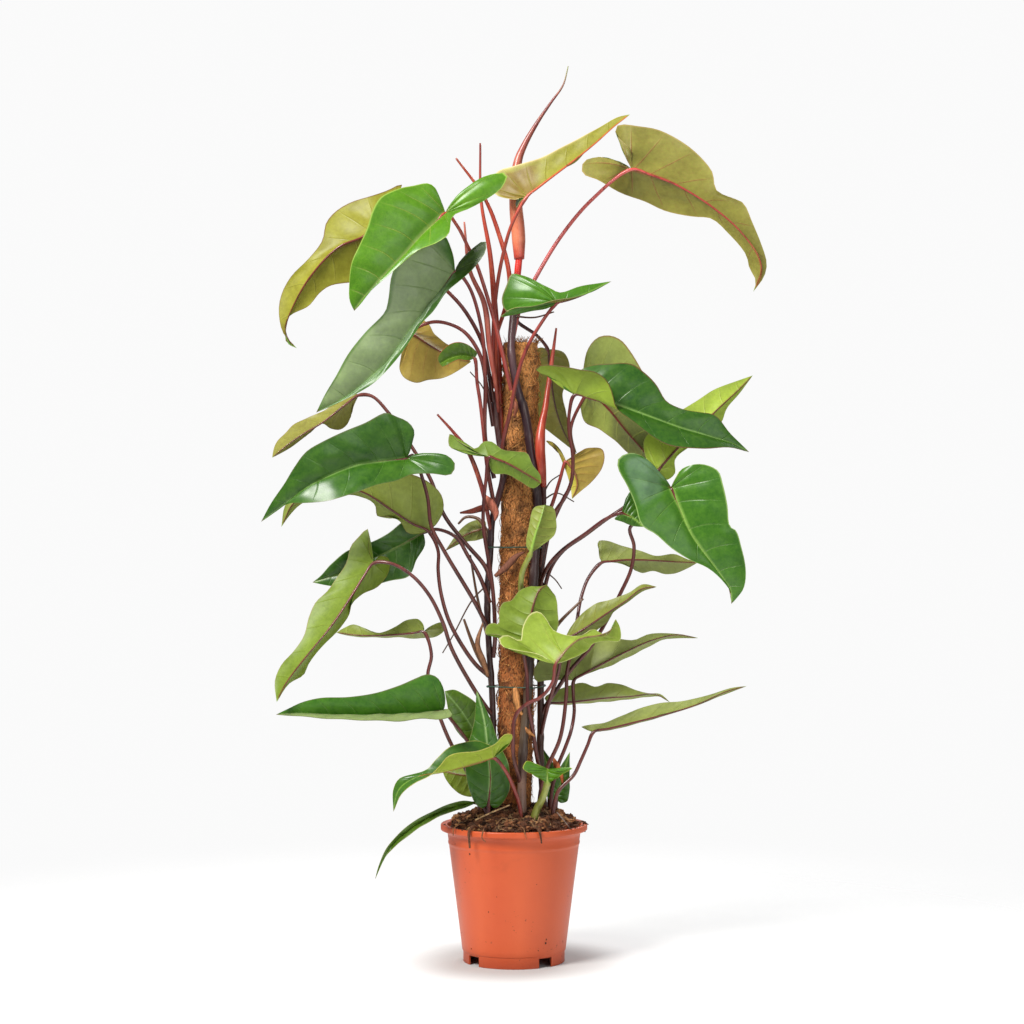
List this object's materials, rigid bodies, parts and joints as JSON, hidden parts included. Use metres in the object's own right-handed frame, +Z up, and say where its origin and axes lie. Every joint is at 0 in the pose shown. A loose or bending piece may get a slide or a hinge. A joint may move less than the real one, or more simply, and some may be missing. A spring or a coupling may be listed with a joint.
{
  "type": "potted philodendron on a coir pole",
  "caption": "Tall potted climbing philodendron with long arrow-shaped leaves on red stalks, tied to a coir pole in a tapered nursery pot.",
  "frame": {"origin": "middle of the pot's foot, on the surface that it stands on", "axes": "+Z up along the plant's height, -Y toward the side that the picture shows, +X to the right in that view"},
  "size_m": [0.5751, 0.2418, 1.0382],
  "materials": {
    "pot_plastic": "satin terracotta-coloured plastic",
    "soil": "crumbly brown potting soil",
    "coir": "rough brown coconut fibre",
    "stake_wood": "plain sawn wood",
    "stem": "smooth dark grey-purple stem skin",
    "sheath": "smooth red new-growth sheath",
    "leaf_top": "glossy dark green upper leaf face",
    "leaf_under": "satin yellow-green lower leaf face with a maroon midrib",
    "tie_wire": "dark green plastic-coated wire"
  },
  "bodies": {
    "root": {"pot": "pot_plastic", "soil": "soil", "coir_pole": "coir", "pole_stake": "stake_wood", "stem_front": "stem", "stem_left": "stem", "stem_right": "stem", "shoot_top": "sheath", "shoot_tall_left": "sheath", "shoot_pink": "sheath", "shoot_right": "sheath", "shoot_low_left": "sheath", "leaf_01": "leaf_under", "leaf_02": "leaf_under", "leaf_03": "leaf_top", "leaf_04": "leaf_under", "leaf_05": "leaf_top", "leaf_06": "leaf_under", "leaf_07": "leaf_top", "leaf_08": "leaf_under", "leaf_09": "leaf_top", "leaf_11": "leaf_under", "leaf_12": "leaf_top", "leaf_13": "leaf_under", "leaf_14": "leaf_under", "leaf_15": "leaf_top", "leaf_16": "leaf_top", "leaf_17": "leaf_top", "leaf_18": "leaf_under", "leaf_19": "leaf_top", "leaf_20": "leaf_top", "leaf_21": "leaf_top", "leaf_22": "leaf_under", "leaf_23": "leaf_top", "leaf_24": "leaf_under", "leaf_25": "leaf_under", "leaf_26": "leaf_top", "leaf_27": "leaf_top", "leaf_28": "leaf_under", "leaf_29": "leaf_under", "leaf_30": "leaf_under", "leaf_31": "leaf_under", "leaf_32": "leaf_under", "leaf_33": "leaf_under", "leaf_34": "leaf_under", "leaf_35": "leaf_under", "leaf_36": "leaf_under", "leaf_37": "leaf_under", "leaf_38": "leaf_top", "leaf_39": "leaf_top", "leaf_40": "leaf_under", "leaf_41": "leaf_top", "tie_upper": "tie_wire", "tie_lower": "tie_wire"}
  },
  "joints": []
}
